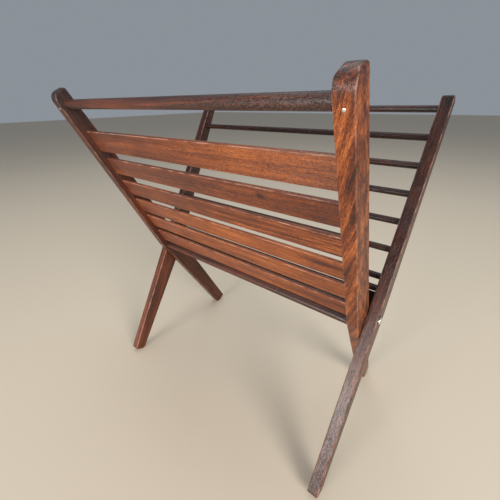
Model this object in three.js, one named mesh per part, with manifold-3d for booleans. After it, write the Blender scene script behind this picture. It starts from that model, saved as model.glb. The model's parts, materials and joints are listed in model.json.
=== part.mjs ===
// Folding magazine rack: two wooden frames that cross like an X and turn on one pair of pivot bolts.
// The front frame carries flat slats and leans forward; the back frame carries round dowels above
// one low slat, leans back and straddles the front frame. The low slat is also the stop for the
// front bars when the rack stands open. Millimetres, +X to the right, +Y to the back, +Z up; the
// origin is the centre of the footprint on the floor.
import * as THREE from "three";
import { mergeVertices } from "three/addons/utils/BufferGeometryUtils.js";
import Module from "manifold-3d";

const wasm = await Module();
wasm.setup();

// ---- overall ----
const FRONT_FRAME_WIDTH = 440; // over the outer faces of the front side bars
const BAR_THICKNESS = 15.9;
const PIVOT_HEIGHT = 239.9;
const CLEARANCE = 0.3; // around every tenon, dowel end and nail
const STACK_GAP = 0.15; // between the faces of bars, washers, head and nut on the pivot

// ---- side bars: straight inner edge, kinked outer edge, widest beside the pivot ----
const PIVOT_INSET = 8; // from the straight inner edge to the pivot
const KINK_OFFSET = 32; // from the pivot to the kink, across the bar
const BAR_CORNER = 3.5;
const EDGE_ROUNDING = 1.2;
const FOOT_TRIM = 3; // how much of the foot's lowest corner the floor flat takes off
const FRONT_BAR = {
  side: -1,
  lean: 28.2,
  top: 334.8,
  topWidth: 21.7,
  kink: 21,
  footWidth: 26,
  topRound: 12,
};
const BACK_BAR = {
  side: 1,
  lean: 30.5,
  top: 321.5,
  topWidth: 17.1,
  kink: 3,
  footWidth: 23,
  topRound: 3.5,
};

// ---- front frame: rails and slats ----
const RAIL_DIAMETER = 12.5;
const TOP_RAIL_DROP = 19.6; // below the top end of the front bars
const SLAT_THICKNESS = 4.6;
const SLAT_WIDTH = 30.8;
const WIDE_SLAT_WIDTH = 34.4; // the top front slat and the low back slat
const SLAT_RECESS = 9.5; // from the bars' outer edge to the slat faces
const LOWEST_SLAT_START = 25.6; // lower edge of the lowest slat, along the bar from the pivot
const SLAT_GAPS = [12.2, 10.3, 11.2, 14.3, 12.8]; // between slats, from the bottom up
const BOTTOM_RAIL_ALONG = 8;

// ---- back frame: dowels, and the low slat that stops the front bars ----
const DOWEL_DIAMETER = 9.5;
const DOWEL_INSET = 9.8; // from the bars' inner edge to the dowel centres
const TOP_DOWEL_DROP = 15.2; // below the top end of the back bars
const DOWEL_PITCH = 41.1;
const SPACED_DOWELS = 7;
const LOWEST_DOWEL_STEP = 17.6; // the last dowel sits closer to the one above it
const SLAT_BELOW_DOWEL = 1.6; // from the lowest dowel's underside down to the low slat's top edge
const STOP_GAP = 0.4; // between the low slat and the front bars when the rack is open

// ---- joinery and hardware ----
const HOUSING_DEPTH = 9; // how far slats, rails and dowels go into the bars
const SPACER_THICKNESS = 0.6;
const SPACER_DIAMETER = 14;
const BOLT_DIAMETER = 6;
const BOLT_CLEARANCE = 0.1; // running fit of the bolt in both bars
const HEAD_DIAMETER = 11.5;
const HEAD_HEIGHT = 1.7;
const WASHER_DIAMETER = 14;
const WASHER_THICKNESS = 0.6;
const NUT_ACROSS_FLATS = 10;
const NUT_THICKNESS = 4;
const NAIL_DIAMETER = 1.6;
const NAIL_HEAD_DIAMETER = 3;
const NAIL_HEAD_THICKNESS = 0.8;

const DEG = Math.PI / 180;
const FRAME_GAP = SPACER_THICKNESS + 2 * STACK_GAP;
const FRONT_BAR_X = (FRONT_FRAME_WIDTH - BAR_THICKNESS) / 2;
const BACK_BAR_X = FRONT_BAR_X + BAR_THICKNESS + FRAME_GAP;

// ---- directions in the plane of the side bars ----
// "along" runs up a bar from the pivot; "out" runs from the pivot towards the kinked outer edge.
function inPlane(bar, along, out) {
  const a = bar.lean * DEG;
  const y = bar.side * (along * Math.sin(a) + out * Math.cos(a));
  const z = PIVOT_HEIGHT + along * Math.cos(a) - out * Math.sin(a);
  return new THREE.Vector2(y, z);
}

// The foot reaches far enough for the floor flat to cut its lowest corner.
function footAlong(bar) {
  const a = bar.lean * DEG;
  const cornerOut = bar.footWidth - PIVOT_INSET;
  return (cornerOut * Math.sin(a) - PIVOT_HEIGHT - FOOT_TRIM) / Math.cos(a);
}

// Distance from the pivot line to the outer edge at a place above the kink.
function outerEdge(bar, along) {
  const topOut = bar.topWidth - PIVOT_INSET;
  const t = (along - bar.kink) / (bar.top - bar.kink);
  return KINK_OFFSET + t * (topOut - KINK_OFFSET);
}

// ---- outlines ----
// Replaces the corner b of the path a-b-c by an arc of the given radius.
function arcCorner(a, b, c, radius, steps) {
  const u = a.clone().sub(b).normalize();
  const v = c.clone().sub(b).normalize();
  const half = Math.acos(THREE.MathUtils.clamp(u.dot(v), -1, 1)) / 2;
  const centre = b.clone().add(u.clone().add(v).normalize().multiplyScalar(radius / Math.sin(half)));
  const start = b.clone().add(u.clone().multiplyScalar(radius / Math.tan(half)));
  const end = b.clone().add(v.clone().multiplyScalar(radius / Math.tan(half)));
  const from = start.clone().sub(centre).angle();
  let turn = end.clone().sub(centre).angle() - from;
  if (turn > Math.PI) turn -= 2 * Math.PI;
  if (turn < -Math.PI) turn += 2 * Math.PI;
  const points = [];
  for (let i = 0; i <= steps; i++) {
    const t = from + (turn * i) / steps;
    points.push(new THREE.Vector2(Math.cos(t), Math.sin(t)).multiplyScalar(radius).add(centre));
  }
  return points;
}

function roundedOutline(corners) {
  const n = corners.length;
  return corners.flatMap((corner, i) => {
    if (!corner.radius) return [corner.at];
    const before = corners[(i + n - 1) % n].at;
    const after = corners[(i + 1) % n].at;
    return arcCorner(before, corner.at, after, corner.radius, corner.steps);
  });
}

function barOutline(bar) {
  const inner = -PIVOT_INSET;
  const topOut = bar.topWidth - PIVOT_INSET;
  const footOut = bar.footWidth - PIVOT_INSET;
  const foot = footAlong(bar);
  const a = bar.lean * DEG;
  const flatAlongEnd = FOOT_TRIM / Math.sin(a);
  const flatAlongEdge = FOOT_TRIM / Math.cos(a);
  return roundedOutline([
    { at: inPlane(bar, foot, inner), radius: BAR_CORNER, steps: 4 },
    { at: inPlane(bar, foot, footOut - flatAlongEnd) },
    { at: inPlane(bar, foot + flatAlongEdge, footOut) },
    { at: inPlane(bar, bar.kink, KINK_OFFSET), radius: 14, steps: 4 },
    { at: inPlane(bar, bar.top, topOut), radius: bar.topRound, steps: 8 },
    { at: inPlane(bar, bar.top, inner), radius: BAR_CORNER, steps: 4 },
  ]);
}

// ---- solids ----
function toSolid(geometry) {
  const plain = geometry.clone();
  plain.deleteAttribute("normal");
  plain.deleteAttribute("uv");
  const merged = mergeVertices(plain, 1e-4);
  return new wasm.Manifold(
    new wasm.Mesh({
      numProp: 3,
      vertProperties: new Float32Array(merged.attributes.position.array),
      triVerts: new Uint32Array(merged.index.array),
    }),
  );
}

function toGeometry(solid) {
  const mesh = solid.getMesh();
  const geometry = new THREE.BufferGeometry();
  geometry.setAttribute("position", new THREE.BufferAttribute(mesh.vertProperties, 3));
  geometry.setIndex(new THREE.BufferAttribute(mesh.triVerts, 1));
  geometry.computeVertexNormals();
  return geometry;
}

// A round bar along X, centred on (x, y, z).
function rodAlongX(diameter, length, at, segments = 24) {
  const geometry = new THREE.CylinderGeometry(diameter / 2, diameter / 2, length, segments);
  geometry.rotateZ(Math.PI / 2);
  geometry.translate(at.x, at.y, at.z);
  return geometry;
}

// How far the outer edge of a bar turns in from the line of its inner edge.
function edgeSlope(bar) {
  return Math.atan((KINK_OFFSET - (bar.topWidth - PIVOT_INSET)) / (bar.top - bar.kink));
}

// A flat strip along X whose width runs up the bar; "slope" turns its top towards the inner edge.
function stripAlongX(bar, slope, length, width, thickness, at) {
  const geometry = new THREE.BoxGeometry(length, thickness, width);
  geometry.rotateX(-bar.side * (bar.lean * DEG - slope));
  geometry.translate(at.x, at.y, at.z);
  return geometry;
}

function at3(bar, x, along, out) {
  const p = inPlane(bar, along, out);
  return new THREE.Vector3(x, p.x, p.y);
}

// ---- where things sit along the bars ----
const SLAT_OUT_FROM_EDGE = SLAT_RECESS + SLAT_THICKNESS / 2;

function slatPlaces() {
  const places = [];
  let start = LOWEST_SLAT_START;
  for (let i = 0; i <= SLAT_GAPS.length; i++) {
    const width = i === SLAT_GAPS.length ? WIDE_SLAT_WIDTH : SLAT_WIDTH;
    const along = start + width / 2;
    places.push({ along, out: outerEdge(FRONT_BAR, along) - SLAT_OUT_FROM_EDGE, width });
    start += width + (SLAT_GAPS[i] || 0);
  }
  return places.reverse();
}

function topRailPlace() {
  const along = FRONT_BAR.top - TOP_RAIL_DROP;
  const out = (outerEdge(FRONT_BAR, along) - PIVOT_INSET) / 2;
  return { along, out };
}

function bottomRailPlace() {
  const out = outerEdge(FRONT_BAR, BOTTOM_RAIL_ALONG) - SLAT_OUT_FROM_EDGE;
  return { along: BOTTOM_RAIL_ALONG, out };
}

function dowelPlaces() {
  const out = DOWEL_INSET - PIVOT_INSET;
  const places = [];
  for (let i = 0; i < SPACED_DOWELS; i++) {
    places.push({ along: BACK_BAR.top - TOP_DOWEL_DROP - i * DOWEL_PITCH, out });
  }
  places.push({ along: places[SPACED_DOWELS - 1].along - LOWEST_DOWEL_STEP, out });
  return places;
}

// The low slat hangs just under the lowest dowel. Its lower front corner is set out so far that the
// front bars' inner edges come to rest against it when the rack is open.
function lowSlatPlace() {
  const lowestDowel = dowelPlaces()[SPACED_DOWELS];
  const topEdge = lowestDowel.along - DOWEL_DIAMETER / 2 - SLAT_BELOW_DOWEL;
  const lowerEdge = topEdge - WIDE_SLAT_WIDTH;
  const opening = (FRONT_BAR.lean + BACK_BAR.lean) * DEG;
  const cornerReach = PIVOT_INSET + STOP_GAP;
  const face = (cornerReach - lowerEdge * Math.sin(opening)) / Math.cos(opening);
  return { along: (topEdge + lowerEdge) / 2, out: face + SLAT_THICKNESS / 2 };
}

// ---- pieces ----
const CROSS_LENGTH = {
  front: FRONT_FRAME_WIDTH - 2 * BAR_THICKNESS + 2 * HOUSING_DEPTH,
  back: 2 * BACK_BAR_X - BAR_THICKNESS + 2 * HOUSING_DEPTH,
};

function barBlank(bar, x) {
  const shape = new THREE.Shape(barOutline(bar));
  const geometry = new THREE.ExtrudeGeometry(shape, {
    depth: BAR_THICKNESS - 2 * EDGE_ROUNDING,
    bevelEnabled: true,
    bevelThickness: EDGE_ROUNDING,
    bevelSize: EDGE_ROUNDING,
    bevelOffset: -EDGE_ROUNDING,
    bevelSegments: 2,
    steps: 1,
  });
  geometry.translate(0, 0, EDGE_ROUNDING - BAR_THICKNESS / 2);
  // the outline is drawn in Y and Z; the extrusion runs along X
  geometry.applyMatrix4(new THREE.Matrix4().set(0, 0, 1, x, 1, 0, 0, 0, 0, 1, 0, 0, 0, 0, 0, 1));
  return toSolid(geometry);
}

function pivotHole(x) {
  const at = new THREE.Vector3(x, 0, PIVOT_HEIGHT);
  return toSolid(rodAlongX(BOLT_DIAMETER + 2 * BOLT_CLEARANCE, 2 * BAR_THICKNESS, at, 32));
}

function nailPath(side) {
  const place = topRailPlace();
  const edge = outerEdge(FRONT_BAR, place.along);
  return { x: side * FRONT_BAR_X, along: place.along, edge, tip: place.out - 2 };
}

// A turned profile whose axis runs along "out" in the plane of the bars, radius pairs from tip to head.
function turnedAlongOut(bar, x, along, profile) {
  const points = profile.map(([r, out]) => new THREE.Vector2(r, out));
  const geometry = new THREE.LatheGeometry(points, 16);
  const base = at3(bar, x, along, 0);
  const outward = at3(bar, x, along, 1).sub(base);
  const turn = new THREE.Quaternion().setFromUnitVectors(new THREE.Vector3(0, 1, 0), outward);
  geometry.applyQuaternion(turn);
  geometry.translate(base.x, base.y, base.z);
  return geometry;
}

function nailGeometry(side, spare) {
  const n = nailPath(side);
  const r = NAIL_DIAMETER / 2 + spare;
  const headR = NAIL_HEAD_DIAMETER / 2 + spare;
  const headTop = n.edge + (spare ? 5 : -0.1);
  const headBase = n.edge - NAIL_HEAD_THICKNESS - spare;
  return turnedAlongOut(FRONT_BAR, n.x, n.along, [
    [0, n.tip - spare],
    [r, n.tip - spare],
    [r, headBase],
    [headR, headBase],
    [headR, headTop],
    [0, headTop],
  ]);
}

function frontBar(side) {
  const x = side * FRONT_BAR_X;
  let solid = barBlank(FRONT_BAR, x).subtract(pivotHole(x));
  for (const place of slatPlaces()) {
    const hole = stripAlongX(
      FRONT_BAR,
      edgeSlope(FRONT_BAR),
      CROSS_LENGTH.front + 2 * CLEARANCE,
      place.width + 2 * CLEARANCE,
      SLAT_THICKNESS + 2 * CLEARANCE,
      at3(FRONT_BAR, 0, place.along, place.out),
    );
    solid = solid.subtract(toSolid(hole));
  }
  for (const place of [topRailPlace(), bottomRailPlace()]) {
    const hole = rodAlongX(
      RAIL_DIAMETER + 2 * CLEARANCE,
      CROSS_LENGTH.front + 2 * CLEARANCE,
      at3(FRONT_BAR, 0, place.along, place.out),
    );
    solid = solid.subtract(toSolid(hole));
  }
  solid = solid.subtract(toSolid(nailGeometry(side, CLEARANCE)));
  return toGeometry(solid);
}

function backBar(side) {
  const x = side * BACK_BAR_X;
  let solid = barBlank(BACK_BAR, x).subtract(pivotHole(x));
  for (const place of dowelPlaces()) {
    const hole = rodAlongX(
      DOWEL_DIAMETER + 2 * CLEARANCE,
      CROSS_LENGTH.back + 2 * CLEARANCE,
      at3(BACK_BAR, 0, place.along, place.out),
    );
    solid = solid.subtract(toSolid(hole));
  }
  const low = lowSlatPlace();
  const mortise = stripAlongX(
    BACK_BAR,
    0,
    CROSS_LENGTH.back + 2 * CLEARANCE,
    WIDE_SLAT_WIDTH + 2 * CLEARANCE,
    SLAT_THICKNESS + 2 * CLEARANCE,
    at3(BACK_BAR, 0, low.along, low.out),
  );
  return toGeometry(solid.subtract(toSolid(mortise)));
}

function lowSlat() {
  const low = lowSlatPlace();
  return stripAlongX(
    BACK_BAR,
    0,
    CROSS_LENGTH.back,
    WIDE_SLAT_WIDTH,
    SLAT_THICKNESS,
    at3(BACK_BAR, 0, low.along, low.out),
  );
}

function slat(place) {
  return stripAlongX(
    FRONT_BAR,
    edgeSlope(FRONT_BAR),
    CROSS_LENGTH.front,
    place.width,
    SLAT_THICKNESS,
    at3(FRONT_BAR, 0, place.along, place.out),
  );
}

function bottomRail() {
  const place = bottomRailPlace();
  return rodAlongX(RAIL_DIAMETER, CROSS_LENGTH.front, at3(FRONT_BAR, 0, place.along, place.out));
}

function topRail() {
  const place = topRailPlace();
  let solid = toSolid(
    rodAlongX(RAIL_DIAMETER, CROSS_LENGTH.front, at3(FRONT_BAR, 0, place.along, place.out)),
  );
  for (const side of [-1, 1]) {
    solid = solid.subtract(toSolid(nailGeometry(side, CLEARANCE)));
  }
  return toGeometry(solid);
}

function dowel(place) {
  return rodAlongX(DOWEL_DIAMETER, CROSS_LENGTH.back, at3(BACK_BAR, 0, place.along, place.out));
}

// ---- pivot hardware, one set each side ----
const BACK_BAR_OUTER_FACE = BACK_BAR_X + BAR_THICKNESS / 2;
const FRONT_BAR_INNER_FACE = FRONT_BAR_X - BAR_THICKNESS / 2;
const HEAD_SEAT = BACK_BAR_OUTER_FACE + WASHER_THICKNESS + 2 * STACK_GAP;
const NUT_SEAT = FRONT_BAR_INNER_FACE - WASHER_THICKNESS - 2 * STACK_GAP;

function alongPivot(geometry, side) {
  geometry.rotateZ((-side * Math.PI) / 2);
  geometry.translate(0, 0, PIVOT_HEIGHT);
  return geometry;
}

function pivotBolt(side) {
  const r = BOLT_DIAMETER / 2;
  const headR = HEAD_DIAMETER / 2;
  const tip = NUT_SEAT - NUT_THICKNESS - 2;
  const profile = [new THREE.Vector2(0, tip), new THREE.Vector2(r - 0.6, tip)];
  profile.push(new THREE.Vector2(r, tip + 0.6));
  profile.push(new THREE.Vector2(r, HEAD_SEAT));
  profile.push(new THREE.Vector2(headR, HEAD_SEAT));
  for (let i = 1; i <= 6; i++) {
    const t = (i / 6) * 0.5 * Math.PI;
    profile.push(new THREE.Vector2(headR * Math.cos(t), HEAD_SEAT + 0.3 + HEAD_HEIGHT * Math.sin(t)));
  }
  profile[profile.length - 1].x = 0;
  return alongPivot(new THREE.LatheGeometry(profile, 32), side);
}

function ring(outerDiameter, innerDiameter, from, to, side, segments = 32) {
  const shape = new THREE.Shape().absarc(0, 0, outerDiameter / 2, 0, 2 * Math.PI);
  const hole = new THREE.Path().absarc(0, 0, innerDiameter / 2, 0, 2 * Math.PI);
  shape.holes.push(hole);
  const options = { depth: to - from, bevelEnabled: false, curveSegments: segments };
  const geometry = new THREE.ExtrudeGeometry(shape, options);
  geometry.translate(0, 0, from);
  geometry.rotateX(-Math.PI / 2);
  return alongPivot(geometry, side);
}

function washer(diameter, thickness, from, side) {
  const bore = BOLT_DIAMETER + 2 * CLEARANCE;
  return ring(diameter, bore, from, from + thickness, side);
}

function spacerWasher(side) {
  const from = FRONT_BAR_X + BAR_THICKNESS / 2 + STACK_GAP;
  return washer(SPACER_DIAMETER, SPACER_THICKNESS, from, side);
}

function outerWasher(side) {
  return washer(WASHER_DIAMETER, WASHER_THICKNESS, BACK_BAR_OUTER_FACE + STACK_GAP, side);
}

function innerWasher(side) {
  const from = FRONT_BAR_INNER_FACE - STACK_GAP - WASHER_THICKNESS;
  return washer(WASHER_DIAMETER, WASHER_THICKNESS, from, side);
}

function nut(side) {
  const across = NUT_ACROSS_FLATS / Math.cos(Math.PI / 6);
  const bore = BOLT_DIAMETER + 2 * CLEARANCE;
  const hexagon = [];
  for (let i = 0; i < 6; i++) {
    const t = (i * Math.PI) / 3;
    hexagon.push(new THREE.Vector2(Math.cos(t), Math.sin(t)).multiplyScalar(across / 2));
  }
  const shape = new THREE.Shape(hexagon);
  shape.holes.push(new THREE.Path().absarc(0, 0, bore / 2, 0, 2 * Math.PI));
  const options = { depth: NUT_THICKNESS, bevelEnabled: false, curveSegments: 24 };
  const geometry = new THREE.ExtrudeGeometry(shape, options);
  geometry.translate(0, 0, NUT_SEAT - NUT_THICKNESS);
  geometry.rotateX(-Math.PI / 2);
  return alongPivot(geometry, side);
}

// ---- materials ----
function wood(color) {
  return new THREE.MeshStandardMaterial({ color, roughness: 0.55 });
}

function polishedSteel() {
  return new THREE.MeshStandardMaterial({ color: 0xd0d0d2, metalness: 1, roughness: 0.25 });
}

function darkSteel() {
  return new THREE.MeshStandardMaterial({ color: 0x55524e, metalness: 1, roughness: 0.5 });
}

function nylon() {
  return new THREE.MeshStandardMaterial({ color: 0x2a2522, roughness: 0.6 });
}

const FRONT_WOOD = wood(0x9a5a35);
const BACK_WOOD = wood(0x4a2820);
const BOLT_METAL = polishedSteel();
const WASHER_METAL = darkSteel();
const SPACER_PLASTIC = nylon();

// ---- assembly ----
const rack = new THREE.Group();
rack.name = "magazine_rack";

function add(name, geometry, material) {
  const mesh = new THREE.Mesh(geometry, material);
  mesh.name = name;
  rack.add(mesh);
}

for (const [word, side] of [["left", -1], ["right", 1]]) {
  add("front_side_bar_" + word, frontBar(side), FRONT_WOOD);
  add("back_side_bar_" + word, backBar(side), BACK_WOOD);
  add("pivot_bolt_" + word, pivotBolt(side), BOLT_METAL);
  add("pivot_spacer_washer_" + word, spacerWasher(side), SPACER_PLASTIC);
  add("pivot_outer_washer_" + word, outerWasher(side), WASHER_METAL);
  add("pivot_inner_washer_" + word, innerWasher(side), WASHER_METAL);
  add("pivot_nut_" + word, nut(side), WASHER_METAL);
  add("top_rail_nail_" + word, toGeometry(toSolid(nailGeometry(side, 0))), BOLT_METAL);
}
add("front_top_rail", topRail(), FRONT_WOOD);
add("front_bottom_rail", bottomRail(), FRONT_WOOD);
slatPlaces().forEach((place, i) => add("front_slat_" + (i + 1), slat(place), FRONT_WOOD));
add("back_low_slat", lowSlat(), BACK_WOOD);
dowelPlaces().forEach((place, i) => add("back_dowel_" + (i + 1), dowel(place), BACK_WOOD));

// The footprint is centred by shifting the whole rack front to back.
const footprint = new THREE.Box3().setFromObject(rack, true);
rack.position.y = -(footprint.min.y + footprint.max.y) / 2;
rack.updateMatrixWorld(true);

export default rack;
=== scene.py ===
import json
import math
import bpy
from mathutils import Matrix, Vector, noise


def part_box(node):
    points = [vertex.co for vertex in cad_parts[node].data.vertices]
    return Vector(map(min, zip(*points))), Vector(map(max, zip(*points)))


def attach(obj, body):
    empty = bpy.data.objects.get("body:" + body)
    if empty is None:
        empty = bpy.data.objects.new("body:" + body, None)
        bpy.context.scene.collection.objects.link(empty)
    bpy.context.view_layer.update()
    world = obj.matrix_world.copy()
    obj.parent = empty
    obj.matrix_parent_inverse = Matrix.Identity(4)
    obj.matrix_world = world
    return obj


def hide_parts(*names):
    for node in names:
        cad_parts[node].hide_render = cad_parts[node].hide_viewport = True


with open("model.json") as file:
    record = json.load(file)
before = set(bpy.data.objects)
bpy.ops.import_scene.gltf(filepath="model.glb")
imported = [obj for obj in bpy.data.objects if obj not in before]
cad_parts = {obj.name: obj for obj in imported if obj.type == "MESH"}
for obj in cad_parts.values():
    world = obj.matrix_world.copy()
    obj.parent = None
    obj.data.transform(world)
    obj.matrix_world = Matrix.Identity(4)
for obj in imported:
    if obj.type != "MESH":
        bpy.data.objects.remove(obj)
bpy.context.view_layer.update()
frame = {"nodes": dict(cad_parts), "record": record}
nodes = frame["nodes"]
body_of = {n: body for body, names in frame["record"]["behaviour"]["bodies"].items() for n in names}
MM = 0.001

# ---- camera ----
pivot = (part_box("pivot_bolt_left")[0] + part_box("pivot_bolt_left")[1]) / 2
CAMERA_FROM_PIVOT = Vector((0.28817, -0.35253, 0.27701))  # from the middle of the pivot line
YAW, PITCH, ROLL = 38.673, 27.701, -0.945  # degrees left of +Y, down, and about the view line
FOCAL_SHARE = 0.5687  # focal length over the width of the picture
SENSOR_WIDTH = 36  # millimetres, as Blender counts lenses


def make_camera():
    data = bpy.data.cameras.new("camera")
    camera = bpy.data.objects.new("camera", data)
    bpy.context.scene.collection.objects.link(camera)
    yaw, pitch, roll = (math.radians(v) for v in (YAW, PITCH, ROLL))
    forward = Vector((-math.sin(yaw) * math.cos(pitch), math.cos(yaw) * math.cos(pitch), -math.sin(pitch)))
    level_right = Vector((math.cos(yaw), math.sin(yaw), 0))
    level_up = level_right.cross(forward)
    right = math.cos(roll) * level_right + math.sin(roll) * level_up
    up = math.cos(roll) * level_up - math.sin(roll) * level_right
    pose = Matrix((right, up, -forward)).transposed().to_4x4()
    pose.translation = Vector((0, pivot.y, pivot.z)) + CAMERA_FROM_PIVOT
    camera.matrix_world = pose
    data.sensor_width = SENSOR_WIDTH
    data.lens = FOCAL_SHARE * SENSOR_WIDTH
    data.clip_start = 0.01
    bpy.context.scene.camera = camera


# ---- material helpers ----
def new_material(name):
    material = bpy.data.materials.new(name)
    material.use_nodes = True
    tree = material.node_tree
    return material, tree, tree.nodes["Principled BSDF"]


def add(tree, kind, inputs, **settings):
    """A shader node whose inputs are set to numbers or linked to sockets."""
    node = tree.nodes.new(kind)
    for key, value in settings.items():
        setattr(node, key, value)
    for key, value in inputs.items():
        if isinstance(value, bpy.types.NodeSocket):
            tree.links.new(value, node.inputs[key])
        else:
            node.inputs[key].default_value = value
    return node


def math_node(tree, operation, a, b, clamp=False):
    return add(tree, "ShaderNodeMath", {0: a, 1: b}, operation=operation, use_clamp=clamp).outputs[0]


def remap(tree, value, low, high, out_low=0.0, out_high=1.0):
    inputs = {"Value": value, "From Min": low, "From Max": high, "To Min": out_low, "To Max": out_high}
    return add(tree, "ShaderNodeMapRange", inputs).outputs[0]


def mix_colour(tree, factor, a, b):
    return add(tree, "ShaderNodeMix", {0: factor, 6: a, 7: b}, data_type="RGBA").outputs[2]


def noise_field(tree, vector, scale, detail=3.0, roughness=0.55, distortion=0.0):
    """Noise on a vector stretched by scale, in cycles per metre along each axis."""
    stretched = add(tree, "ShaderNodeMapping", {"Vector": vector, "Scale": scale}).outputs[0]
    inputs = {"Vector": stretched, "Scale": 1.0, "Detail": detail, "Roughness": roughness,
              "Distortion": distortion}
    return add(tree, "ShaderNodeTexNoise", inputs).outputs["Fac"]


def colour_ramp(tree, value, stops):
    node = add(tree, "ShaderNodeValToRGB", {"Fac": value})
    ramp = node.color_ramp
    while len(ramp.elements) < len(stops):
        ramp.elements.new(0.5)
    for element, (position, colour) in zip(ramp.elements, stops):
        element.position = position
        element.color = (*colour, 1)
    return node.outputs["Color"]


# ---- wood ----
# Meshes carry three attributes for it: "grain", a point's place along, across and through the wood
# in metres; "arris", 1 on a worn edge, whose worn colour is partly a painted highlight; and "look",
# which holds the shade (0 dark heartwood to 1 pale orange wood, with painted light on one piece and
# painted shade on another), the strength of the figure, and how far the finish is rubbed to a grey
# haze, which is partly a painted sheen.
STAIN = [
    (0.00, (0.005, 0.0018, 0.0014)),
    (0.25, (0.024, 0.0056, 0.0028)),
    (0.50, (0.105, 0.0225, 0.0060)),
    (0.75, (0.255, 0.0680, 0.0140)),
    (1.00, (0.430, 0.1500, 0.0400)),
]
# Worn wood on the arrises, partly a painted highlight along their lit edges.
WORN_AND_HIGHLIGHT = (0.36, 0.185, 0.125, 1)
# Grey haze of a rubbed finish, partly a painted sheen where the lamps reflect.
HAZE_AND_SHEEN = (0.20, 0.125, 0.110, 1)


def wood(name, roughness):
    """Dark stained hardwood under a thin, worn satin finish."""
    material, tree, bsdf = new_material(name)
    grain = add(tree, "ShaderNodeAttribute", {}, attribute_name="grain").outputs["Vector"]
    arris = add(tree, "ShaderNodeAttribute", {}, attribute_name="arris").outputs["Fac"]
    look = add(tree, "ShaderNodeAttribute", {}, attribute_name="look").outputs["Vector"]
    shade, figure, rub_and_sheen = add(tree, "ShaderNodeSeparateXYZ", {"Vector": look}).outputs

    bands = noise_field(tree, grain, (6, 150, 150), detail=3, roughness=0.55, distortion=0.5)
    lines = noise_field(tree, grain, (16, 700, 700), detail=4, roughness=0.65, distortion=0.2)
    pores = noise_field(tree, grain, (170, 2000, 2000), detail=2, roughness=0.5)
    blotches = noise_field(tree, grain, (14, 30, 30), detail=4, roughness=0.65)
    flecks = noise_field(tree, grain, (330, 640, 640), detail=3, roughness=0.7)
    speckle = noise_field(tree, grain, (430, 500, 500), detail=3, roughness=0.65)

    tone = math_node(tree, "ADD", remap(tree, bands, 0.3, 0.7, -0.30, 0.30),
                     remap(tree, lines, 0.3, 0.7, -0.22, 0.22))
    tone = math_node(tree, "ADD", math_node(tree, "MULTIPLY", tone, figure), shade)
    tone = math_node(tree, "ADD", tone, remap(tree, blotches, 0.3, 0.7, -0.08, 0.08))
    tone = math_node(tree, "ADD", tone, remap(tree, flecks, 0.3, 0.7, -0.10, 0.10))
    tone = math_node(tree, "ADD", tone, remap(tree, pores, 0.55, 0.68, 0.0, -0.20), clamp=True)
    colour = colour_ramp(tree, tone, STAIN)

    # A grey haze where the finish is rubbed, partly a painted sheen, then wood laid bare along the arrises,
    # partly a painted highlight on their lit edges.
    haze_and_sheen = math_node(tree, "MULTIPLY", remap(tree, speckle, 0.38, 0.70), rub_and_sheen)
    colour = mix_colour(tree, haze_and_sheen, colour, HAZE_AND_SHEEN)
    patchy = remap(tree, noise_field(tree, grain, (60, 160, 160), detail=4), 0.42, 0.62, 0.05, 0.85)
    colour = mix_colour(tree, math_node(tree, "MULTIPLY", arris, patchy), colour, WORN_AND_HIGHLIGHT)
    tree.links.new(colour, bsdf.inputs["Base Color"])

    rough = remap(tree, speckle, 0.3, 0.7, roughness - 0.10, roughness + 0.12)
    tree.links.new(rough, bsdf.inputs["Roughness"])
    relief = math_node(tree, "ADD", speckle, lines)
    relief = math_node(tree, "SUBTRACT", relief, remap(tree, pores, 0.55, 0.68, 0.0, 0.5))
    bump = add(tree, "ShaderNodeBump", {"Height": relief, "Strength": 0.6, "Distance": 0.0006})
    tree.links.new(bump.outputs[0], bsdf.inputs["Normal"])
    bsdf.inputs["IOR"].default_value = 1.5
    bsdf.inputs["Specular IOR Level"].default_value = 0.36
    bsdf.inputs["Coat Weight"].default_value = 0.06
    bsdf.inputs["Coat Roughness"].default_value = 0.25
    return material


def metal(name, colour, roughness, tarnish):
    """Plated steel with fine turning marks and patches of tarnish."""
    material, tree, bsdf = new_material(name)
    place = add(tree, "ShaderNodeTexCoord", {}).outputs["Object"]
    patches = noise_field(tree, place, (260, 260, 260), detail=4)
    marks = noise_field(tree, place, (400, 2600, 2600), detail=3)
    darker = tuple(c * (1 - tarnish) for c in colour)
    mixed = mix_colour(tree, remap(tree, patches, 0.40, 0.66), (*colour, 1), (*darker, 1))
    tree.links.new(mixed, bsdf.inputs["Base Color"])
    tree.links.new(remap(tree, patches, 0.3, 0.7, roughness, roughness + 0.2), bsdf.inputs["Roughness"])
    bump = add(tree, "ShaderNodeBump", {"Height": marks, "Strength": 0.25, "Distance": 0.0001})
    tree.links.new(bump.outputs[0], bsdf.inputs["Normal"])
    bsdf.inputs["Metallic"].default_value = 1.0
    return material


def nylon(name):
    material, tree, bsdf = new_material(name)
    place = add(tree, "ShaderNodeTexCoord", {}).outputs["Object"]
    cloudy = noise_field(tree, place, (300, 300, 300), detail=3)
    tree.links.new(mix_colour(tree, cloudy, (0.03, 0.028, 0.026, 1), (0.07, 0.065, 0.06, 1)),
                   bsdf.inputs["Base Color"])
    tree.links.new(remap(tree, cloudy, 0.3, 0.7, 0.4, 0.6), bsdf.inputs["Roughness"])
    return material


# ---- shapes read from the frame ----
def turn(a, b, c):
    return (b[0] - a[0]) * (c[1] - a[1]) - (b[1] - a[1]) * (c[0] - a[0])


def outline(node):
    """The convex outline of a CAD node seen along X, as (y, z) points."""
    points = sorted({(round(v.co.y, 6), round(v.co.z, 6)) for v in nodes[node].data.vertices})
    chains = []
    for run in (points, points[::-1]):
        chain = []
        for p in run:
            while len(chain) > 1 and turn(chain[-2], chain[-1], p) <= 0:
                chain.pop()
            chain.append(p)
        chains.append(chain[:-1])
    return [Vector(p) for p in chains[0] + chains[1]]


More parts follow.
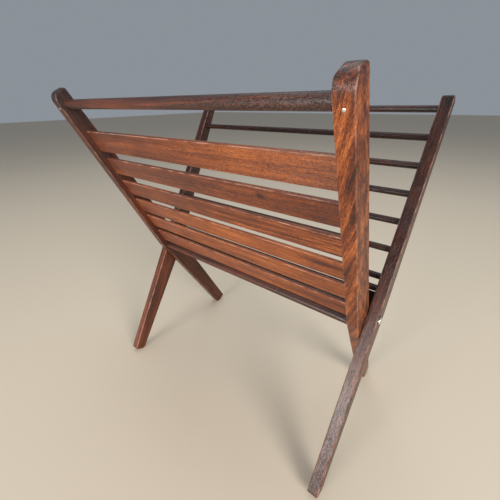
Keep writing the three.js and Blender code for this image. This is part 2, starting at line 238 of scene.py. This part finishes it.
class Board:
    """A straight piece: its long direction in the YZ plane, and its outline in that direction."""

    def __init__(self, node):
        points = outline(node)
        pairs = list(zip(points, points[1:] + points[:1]))
        a, b = max(pairs, key=lambda pair: (pair[1] - pair[0]).length)
        self.up = (b - a).normalized()
        if self.up.y < 0:
            self.up.negate()
        self.side = Vector((self.up.y, -self.up.x))
        self.points = [Vector((p.dot(self.up), p.dot(self.side))) for p in points]
        self.low = min(p.x for p in self.points)
        self.high = max(p.x for p in self.points)

    def place(self, x, along, across):
        yz = self.up * along + self.side * across
        return Vector((x, yz.x, yz.y))

    def edges_at(self, along):
        """The two edges, across the piece, at a place along it."""
        hits = []
        for a, b in zip(self.points, self.points[1:] + self.points[:1]):
            if (a.x - along) * (b.x - along) <= 0 and a.x != b.x:
                hits.append(a.y + (b.y - a.y) * (along - a.x) / (b.x - a.x))
        return min(hits), max(hits)


# ---- lofted wood ----
ARRIS_MARGIN = 0.8 * MM  # worn wood, partly a painted highlight, reaches this far onto the flat faces
SURFACE_WAVE = 0.04 * MM
WAVES_PER_METRE = 28
EDGE_DENT = 0.12 * MM
DENTS_PER_METRE = 95
DENT_SHIFT = Vector((3.1, 7.7, 1.3))  # keeps the dents apart from the waves
DENT_START = 0.12  # noise below this leaves the edge whole
SHARP_EDGE = math.radians(40)


def rounded_section(u0, u1, v0, v1, radius, u_steps, v_steps, wear_and_highlight=(1, 1, 1, 1)):
    """(u, v, arris) points round a rectangle with rounded corners, each given its own amount of wear and
    painted highlight.
    """
    r = min(radius, (u1 - u0) * 0.45, (v1 - v0) * 0.45)
    corners = [(u1 - r, v0 + r), (u1 - r, v1 - r), (u0 + r, v1 - r), (u0 + r, v0 + r)]
    section = []
    for k, (cu, cv) in enumerate(corners):
        for i, arris in enumerate((0.15, 1.0, 1.0, 0.15)):
            angle = math.radians(90 * k - 90 + 30 * i)
            section.append((cu + r * math.cos(angle), cv + r * math.sin(angle), arris * wear_and_highlight[k]))
        angle = math.radians(90 * k)
        start = Vector((cu + r * math.cos(angle), cv + r * math.sin(angle)))
        nu, nv = corners[(k + 1) % 4]
        end = Vector((nu + r * math.cos(angle), nv + r * math.sin(angle)))
        steps = v_steps if k % 2 == 0 else u_steps
        margin = min(0.3 / steps, ARRIS_MARGIN / max((end - start).length, MM))
        for i in range(steps + 1):
            t = margin + (1 - 2 * margin) * i / steps
            p = start.lerp(end, t)
            section.append((p.x, p.y, 0.0))
    return section


def round_section(cu, cv, radius, steps=40):
    angles = [2 * math.pi * i / steps for i in range(steps)]
    return [(cu + radius * math.cos(a), cv + radius * math.sin(a), 0.0) for a in angles]


def stations(low, high, step, extra=()):
    """Places from low to high no further apart than step, with the extra ones among them."""
    count = max(1, math.ceil((high - low) / step))
    places = sorted([low + (high - low) * i / count for i in range(count + 1)] + list(extra))
    kept = [low]
    for p in places:
        if p - kept[-1] > 0.12 * MM and p < high - 0.05 * MM:
            kept.append(p)
    return kept + [high]


def end_inset(distance, radius):
    """How far a rounded end draws in at a distance from its tip."""
    if distance >= radius:
        return 0.0
    return radius - math.sqrt(radius ** 2 - (radius - distance) ** 2)


def loft(node, rings, place, grain, look, slot):
    """Skins rings of (u, v, arris) points into a closed, slightly uneven wooden piece."""
    count = len(rings[0][1])
    positions, grains, arrises, looks = [], [], [], []
    for s, section in rings:
        cu = sum(p[0] for p in section) / count
        cv = sum(p[1] for p in section) / count
        for u, v, arris in section:
            at = place(s, u, v)
            wave = (noise.noise(at * WAVES_PER_METRE) + 1) / 2 * SURFACE_WAVE
            bite = noise.noise(at * DENTS_PER_METRE + DENT_SHIFT) - DENT_START
            dent = max(0.0, bite) * EDGE_DENT * arris
            inward = place(s, cu, cv) - at
            positions.append(at + inward.normalized() * (wave + dent))
            grains.append(grain(s, u, v))
            arrises.append(arris)
            looks.append(look(s, u, v))
    faces = []
    for ring in range(len(rings) - 1):
        for i in range(count):
            j = (i + 1) % count
            a = ring * count
            faces.append((a + i, a + j, a + count + j, a + count + i))
    faces.append(tuple(reversed(range(count))))
    last = (len(rings) - 1) * count
    faces.append(tuple(range(last, last + count)))
    mesh = bpy.data.meshes.new(node + "_wood")
    mesh.from_pydata(positions, [], faces)
    first = mesh.polygons[0]
    if first.normal.dot(first.center - ring_centre(positions[:count])) < 0:
        mesh.flip_normals()
    store(mesh, "grain", "FLOAT_VECTOR", "vector", grains)
    store(mesh, "arris", "FLOAT", "value", arrises)
    store(mesh, "look", "FLOAT_VECTOR", "vector", looks)
    stand_in(mesh, node, slot)


def stand_in(mesh, node, slot):
    """Puts a finished mesh in the place of a CAD node."""
    mesh.shade_smooth()
    mesh.set_sharp_from_angle(angle=SHARP_EDGE)
    mesh.materials.append(finishes[slot])
    piece = bpy.data.objects.new(mesh.name, mesh)
    bpy.context.scene.collection.objects.link(piece)
    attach(piece, body_of[node])
    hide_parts(node)


def ring_centre(positions):
    return sum(positions, Vector((0, 0, 0))) / len(positions)


def store(mesh, name, kind, field, values):
    attribute = mesh.attributes.new(name, kind, "POINT")
    flat = [c for value in values for c in value] if field == "vector" else values
    attribute.data.foreach_set(field, flat)


def profile(values, t):
    """The value at t from 0 to 1 through evenly spaced values."""
    t = min(max(t, 0.0), 1.0) * (len(values) - 1)
    i = min(int(t), max(len(values) - 2, 0))
    following = values[min(i + 1, len(values) - 1)]
    return values[i] + (following - values[i]) * (t - i)


class Look:
    """How one piece of wood looks along its length, with dark marks such as knots and streaks."""

    def __init__(self, seed, shade, figure=(0.5,), rub_and_sheen=(0.05,), tilt=0.0, marks=()):
        shift = Vector((0.37 * seed, 0.11 * seed, 0.23 * seed))
        turned = Matrix.Rotation(math.radians(tilt), 3, "Z")
        self.fibre = lambda along, across, through: turned @ Vector((along, across, through)) + shift
        self.profiles = (shade, figure, rub_and_sheen)
        self.marks = marks

    def at(self, t, w, length, width):
        """Shade, figure and rub (haze and painted sheen) at fractions t along and w across a piece of that
        length and width.
        """
        shade, figure, rub_and_sheen = (profile(values, t) for values in self.profiles)
        for mark_t, mark_w, half_length, half_width, depth in self.marks:
            along = (t - mark_t) * length / half_length
            across = (w - mark_w) * width / half_width
            shade -= depth * math.exp(-along ** 2 - across ** 2)
        return shade, figure, rub_and_sheen


# ---- pieces ----
BAR_EDGE = 1.3 * MM
BAR_TOP_EDGE = 3.0 * MM
SLAT_EDGE = 1.0 * MM
SLAT_WEAR_AND_HIGHLIGHT = (0.25, 0.6, 1.0, 0.2)  # back lower, back upper, front upper and front lower arris; the upper ones get more, partly wear and partly a painted highlight where light catches them
# The bars' arrises get the worn colour evenly, partly a painted highlight.
FRONT_BAR_WEAR_AND_HIGHLIGHT = (0.5, 0.5, 0.5, 0.5)
BACK_BAR_WEAR_AND_HIGHLIGHT = (0.8, 0.8, 0.8, 0.8)
BAR_RING_STEP = 4 * MM
RING_STEP = 5 * MM  # of the slats and rods
TIP_GAP = 0.02 * MM  # between a bar's very end and its first ring
FOOT_RINGS = (0.08, 0.3, 0.6, 1)  # in roundings of the foot
TOP_RINGS = (0.03, 0.12, 0.3, 0.6, 1)  # in roundings of the top


def side_bar(node, slot, look, wear_and_highlight):
    board = Board(node)
    x0, x1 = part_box(node)[0].x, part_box(node)[1].x
    extra = [p.x for p in board.points]
    extra += [board.low + BAR_EDGE * k for k in FOOT_RINGS]
    extra += [board.high - BAR_TOP_EDGE * k for k in TOP_RINGS]
    rings = []
    for s in stations(board.low + TIP_GAP, board.high - TIP_GAP, BAR_RING_STEP, extra):
        inset = max(end_inset(s - board.low, BAR_EDGE), end_inset(board.high - s, BAR_TOP_EDGE))
        v0, v1 = board.edges_at(s)
        rings.append((s, rounded_section(x0 + inset, x1 - inset, v0, v1, BAR_EDGE, 4, 8, wear_and_highlight)))
    length = board.high - board.low
    v_low = min(p.y for p in board.points)
    width = max(p.y for p in board.points) - v_low

    def look_at(s, u, v):
        return look.at((s - board.low) / length, (v - v_low) / width, length, width)

    loft(node, rings, lambda s, u, v: board.place(u, s, v), look.fibre, look_at, slot)


def slat(node, slot, look):
    board = Board(node)
    x0, x1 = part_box(node)[0].x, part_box(node)[1].x
    v0, v1 = board.low, board.high
    u0, u1 = board.edges_at((v0 + v1) / 2)
    section = rounded_section(u0, u1, v0, v1, SLAT_EDGE, 1, 10, SLAT_WEAR_AND_HIGHLIGHT)
    rings = [(s, section) for s in stations(x0, x1, RING_STEP)]

    def look_at(s, u, v):
        return look.at((s - x0) / (x1 - x0), (v - v0) / (v1 - v0), x1 - x0, v1 - v0)

    def grain_at(s, u, v):
        return look.fibre(s, v, u)

    loft(node, rings, lambda s, u, v: board.place(s, v, u), grain_at, look_at, slot)


def rod(node, slot, look):
    low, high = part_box(node)
    radius = (high.z - low.z) / 2
    section = round_section((low.y + high.y) / 2, (low.z + high.z) / 2, radius)
    rings = [(s, section) for s in stations(low.x, high.x, RING_STEP)]
    length = high.x - low.x

    def look_at(s, u, v):
        return look.at((s - low.x) / length, (v - low.z) / (2 * radius), length, 2 * radius)

    loft(node, rings, lambda s, u, v: Vector((s, u, v)), look.fibre, look_at, slot)


# Metals: colour, roughness, and how much darker the tarnish is.
finishes = {
    "front_frame_wood": wood("front_frame_wood", roughness=0.40),
    "back_frame_wood": wood("back_frame_wood", roughness=0.34),
    "bolt_steel": metal("bolt_steel", (0.86, 0.85, 0.82), 0.14, 0.2),
    "dark_steel": metal("dark_steel", (0.05, 0.045, 0.04), 0.35, 0.5),
    "spacer_nylon": nylon("spacer_nylon"),
}
# Dark marks: place along and across as shares of the piece, half length, half width and depth.
STREAK = (0.91, 0.62, 22 * MM, 3.5 * MM, 0.35)
KNOT = (0.76, 0.66, 4 * MM, 3 * MM, 0.4)
DARK_TOP = (1.0, 0.5, 14 * MM, 200 * MM, 0.22)
# Looks: seed, then shade, figure and rub, each given at even steps along the piece. The rub is a grey
# haze, partly a painted sheen, as at the right end of the first slat.
SLAT_LOOKS = [
    Look(5, (0.46, 0.48, 0.56, 0.68, 0.60), (0.35,), (0.10, 0.05, 0.05, 0.10, 0.45)),
    Look(6, (0.50, 0.46, 0.44, 0.48, 0.50), (0.40,), (0.18, 0.10, 0.05), marks=(KNOT,)),
    Look(7, (0.52, 0.50, 0.52, 0.56, 0.60), (0.4, 0.5, 1.0), (0.12, 0.06, 0.05)),
    Look(8, (0.56, 0.60, 0.66, 0.68, 0.66), (0.40,), (0.10, 0.05), marks=(STREAK,)),
    Look(9, (0.56, 0.60, 0.62, 0.66, 0.66), (0.45,), (0.12, 0.08)),
    Look(10, (0.52, 0.58, 0.60, 0.58, 0.54), (0.45,), (0.15, 0.10)),
]
DOWEL_COUNT = 8


def build_wood():
    """Looks run from foot to top on the bars, and from left to right on the slats and rods."""
    side_bar("front_side_bar_left", "front_frame_wood",
             Look(1, (0.40, 0.38, 0.34), marks=(DARK_TOP,)), FRONT_BAR_WEAR_AND_HIGHLIGHT)
    # The right bar is paler than the left: partly lighter wood, partly painted light where its outer face
    # meets the right-hand lamp.
    side_bar("front_side_bar_right", "front_frame_wood",
             Look(2, (0.56, 0.58, 0.56), (0.9,), tilt=-16, marks=(DARK_TOP,)), FRONT_BAR_WEAR_AND_HIGHLIGHT)
    side_bar("back_side_bar_left", "back_frame_wood",
             Look(3, (0.46, 0.42, 0.26, 0.20), (0.4,), (0.06,), marks=(DARK_TOP,)), BACK_BAR_WEAR_AND_HIGHLIGHT)
    side_bar("back_side_bar_right", "back_frame_wood",
             Look(4, (0.30, 0.30, 0.30, 0.30, 0.24), (0.35,), (0.12, 0.1, 0.03), marks=(DARK_TOP,)),
             BACK_BAR_WEAR_AND_HIGHLIGHT)
    for i, look in enumerate(SLAT_LOOKS):
        slat(f"front_slat_{i + 1}", "front_frame_wood", look)
    # The back low slat is stained nearly black: painted shade, as it sits in shadow deep in the back frame.
    slat("back_low_slat", "back_frame_wood", Look(11, (0.10,)))
    # The top rail's haze grows towards its right end: painted sheen where its highlight falls.
    rod("front_top_rail", "front_frame_wood", Look(12, (0.30, 0.36, 0.30, 0.20), rub_and_sheen=(0.08, 0.12, 0.2, 0.3)))
    rod("front_bottom_rail", "front_frame_wood", Look(13, (0.44, 0.36, 0.32, 0.32), rub_and_sheen=(0.1, 0.15)))
    for i in range(DOWEL_COUNT):
        rod(f"back_dowel_{i + 1}", "back_frame_wood", Look(14 + i, (0.24, 0.20, 0.16), rub_and_sheen=(0.03,)))


# ---- hardware ----
ROUND_STEPS = 48
DOME_STEPS = 6
RIM_SHARE = 0.25  # of a domed head's height
THREAD_PITCH = 1.0 * MM
THREAD_DEPTH = 0.3 * MM
THREAD_START = 0.72  # of the bolt's length
THREAD_END_BEVEL = 0.6 * MM
NAIL_RISE = 0.5 * MM
NAIL_HEAD_HEIGHT = 0.7 * MM
NAIL_SHANK_SHARE = 0.5  # of the head's radius
NAIL_POINT_GAP = 0.2 * MM
NAIL_POINT_RADIUS = 0.1 * MM
CAP_DEPTH = 0.1 * MM  # vertices this close to an end belong to its face
WASHER_BEVEL = 0.2 * MM
WASHER_BEVEL_ANGLE = math.radians(50)


def dome(radius, height):
    """(depth from the tip, radius) points of a domed head, with a small rounded rim."""
    rim = RIM_SHARE * height
    points = []
    for i in range(1, DOME_STEPS + 1):
        angle = math.pi / 2 * i / DOME_STEPS
        points.append(((height - rim) * (1 - math.cos(angle)), radius * math.sin(angle)))
    return points + [(height - 0.3 * rim, radius), (height, radius - 0.4 * rim)]


def nail_direction(points, centre):
    """Direction from a nail's point to its head; its vertices lie in rings at the two ends."""
    far = max(points, key=lambda p: (p - centre).length)
    ends = ([], [])
    for p in points:
        ends[(p - centre).dot(far - centre) < 0].append(p)
    axis = (ring_centre(ends[0]) - ring_centre(ends[1])).normalized()

    def widest(end):
        return max((p - centre - axis * (p - centre).dot(axis)).length for p in end)

    return axis if widest(ends[0]) > widest(ends[1]) else -axis


def bolt(node, slot):
    """A round-headed bolt along X with a threaded end, in the place of its CAD node."""
    low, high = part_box(node)
    centre = (low + high) / 2
    points = [v.co for v in nodes[node].data.vertices]
    out = Vector((1 if centre.x > 0 else -1, 0, 0))
    tip = Vector((high.x if out.x > 0 else low.x, centre.y, centre.z))
    reach = [((tip - p).dot(out), math.hypot(p.y - centre.y, p.z - centre.z)) for p in points]
    length = max(depth for depth, r in reach)
    shank = max(r for depth, r in reach if depth > length - CAP_DEPTH)
    head = max(r for depth, r in reach)
    height = max(depth for depth, r in reach if r > (shank + head) / 2)
    section = dome(head, height) + [(height, shank)]
    thread_start = length * THREAD_START
    for i in range(int((length - thread_start) / THREAD_PITCH) - 1):
        depth = thread_start + i * THREAD_PITCH
        section += [(depth, shank), (depth + THREAD_PITCH / 2, shank - THREAD_DEPTH)]
    section += [(length - THREAD_END_BEVEL, shank), (length, shank - THREAD_END_BEVEL)]
    spin(node, slot, tip, out, section)


def nail(node, slot):
    """A nail whose slightly domed head stands just proud of the wood."""
    points = [v.co for v in nodes[node].data.vertices]
    centre = ring_centre(points)
    out = nail_direction(points, centre)
    depths = [(p - centre).dot(out) for p in points]
    front = max(depths)
    length = front - min(depths)
    face = [p for p, depth in zip(points, depths) if depth > front - CAP_DEPTH]
    middle = ring_centre(face)
    head = max((p - middle).length for p in face)
    shank = head * NAIL_SHANK_SHARE
    end = NAIL_HEAD_HEIGHT + length
    section = dome(head, NAIL_HEAD_HEIGHT)
    section += [(NAIL_HEAD_HEIGHT, shank), (end - head, shank), (end - NAIL_POINT_GAP, NAIL_POINT_RADIUS)]
    spin(node, slot, middle + out * NAIL_RISE, out, section)


def spin(node, slot, tip, out, section):
    """Turns (depth, radius) points about the line from tip against out into a closed mesh."""
    across = out.orthogonal().normalized()
    along = out.cross(across)
    verts, faces = [], []
    for depth, radius in section:
        for k in range(ROUND_STEPS):
            angle = 2 * math.pi * k / ROUND_STEPS
            verts.append(tip - out * depth + (across * math.cos(angle) + along * math.sin(angle)) * radius)
    for ring in range(len(section) - 1):
        for k in range(ROUND_STEPS):
            a, b = ring * ROUND_STEPS + k, ring * ROUND_STEPS + (k + 1) % ROUND_STEPS
            faces.append((a, a + ROUND_STEPS, b + ROUND_STEPS, b))
    last = (len(section) - 1) * ROUND_STEPS
    verts.append(tip)
    faces += [(len(verts) - 1, k, (k + 1) % ROUND_STEPS) for k in range(ROUND_STEPS)]
    verts.append(tip - out * section[-1][0])
    faces += [(len(verts) - 1, last + (k + 1) % ROUND_STEPS, last + k) for k in range(ROUND_STEPS)]
    mesh = bpy.data.meshes.new(node + "_turned")
    mesh.from_pydata(verts, [], faces)
    stand_in(mesh, node, slot)


def finish_hardware():
    slots = {part["node"]: part["material_slot"] for part in frame["record"]["subparts"]}
    for name, piece in nodes.items():
        piece.data.materials.clear()
        piece.data.materials.append(finishes[slots[name]])
        if name.startswith("pivot"):
            bevel = piece.modifiers.new("worn_edges", "BEVEL")
            bevel.width = WASHER_BEVEL
            bevel.segments = 2
            bevel.angle_limit = WASHER_BEVEL_ANGLE
    for side in ("left", "right"):
        bolt(f"pivot_bolt_{side}", "bolt_steel")
        nail(f"top_rail_nail_{side}", "bolt_steel")


# ---- stage ----
FLOOR_REACH = 12
FLOOR_COLOUR = (0.62, 0.53, 0.41, 1)
FLOOR_ROUGHNESS = 0.6
AIM = (0, 0, 0.25)
# Soft lights: place, width, height, watts, colour.
LIGHTS = {
    "window_front": ((-0.25, -3.15, 0.48), 1.1, 0.4, 115, (1.0, 0.97, 0.95)),
    "window_right": ((3.0, -1.2, 1.3), 1.6, 1.6, 125, (1.0, 0.98, 0.95)),
    "ceiling": ((-0.3, 0.6, 2.8), 2.4, 2.4, 32, (0.95, 0.98, 1.0)),
}
SKY_COLOUR = (0.52, 0.57, 0.63, 1)
SKY_STRENGTH = 0.5


def make_floor():
    material, _, bsdf = new_material("pale_floor")
    bsdf.inputs["Base Color"].default_value = FLOOR_COLOUR
    bsdf.inputs["Roughness"].default_value = FLOOR_ROUGHNESS
    size = FLOOR_REACH
    corners = [(-size, -size, 0), (size, -size, 0), (size, size, 0), (-size, size, 0)]
    mesh = bpy.data.meshes.new("floor")
    mesh.from_pydata(corners, [], [(0, 1, 2, 3)])
    mesh.materials.append(material)
    floor = bpy.data.objects.new("floor", mesh)
    bpy.context.scene.collection.objects.link(floor)


def soft_light(name, place, width, height, watts, colour):
    data = bpy.data.lights.new(name, "AREA")
    data.shape = "RECTANGLE"
    data.size, data.size_y = width, height
    data.energy = watts
    data.color = colour
    lamp = bpy.data.objects.new(name, data)
    bpy.context.scene.collection.objects.link(lamp)
    lamp.location = place
    lamp.rotation_euler = (Vector(AIM) - Vector(place)).to_track_quat("-Z", "Y").to_euler()


def light_scene():
    for name, settings in LIGHTS.items():
        soft_light(name, *settings)
    world = bpy.data.worlds.new("world")
    bpy.context.scene.world = world
    world.use_nodes = True
    background = world.node_tree.nodes["Background"]
    background.inputs["Color"].default_value = SKY_COLOUR
    background.inputs["Strength"].default_value = SKY_STRENGTH
    bpy.context.scene.view_settings.view_transform = "Standard"


make_camera()
build_wood()
finish_hardware()
make_floor()
light_scene()
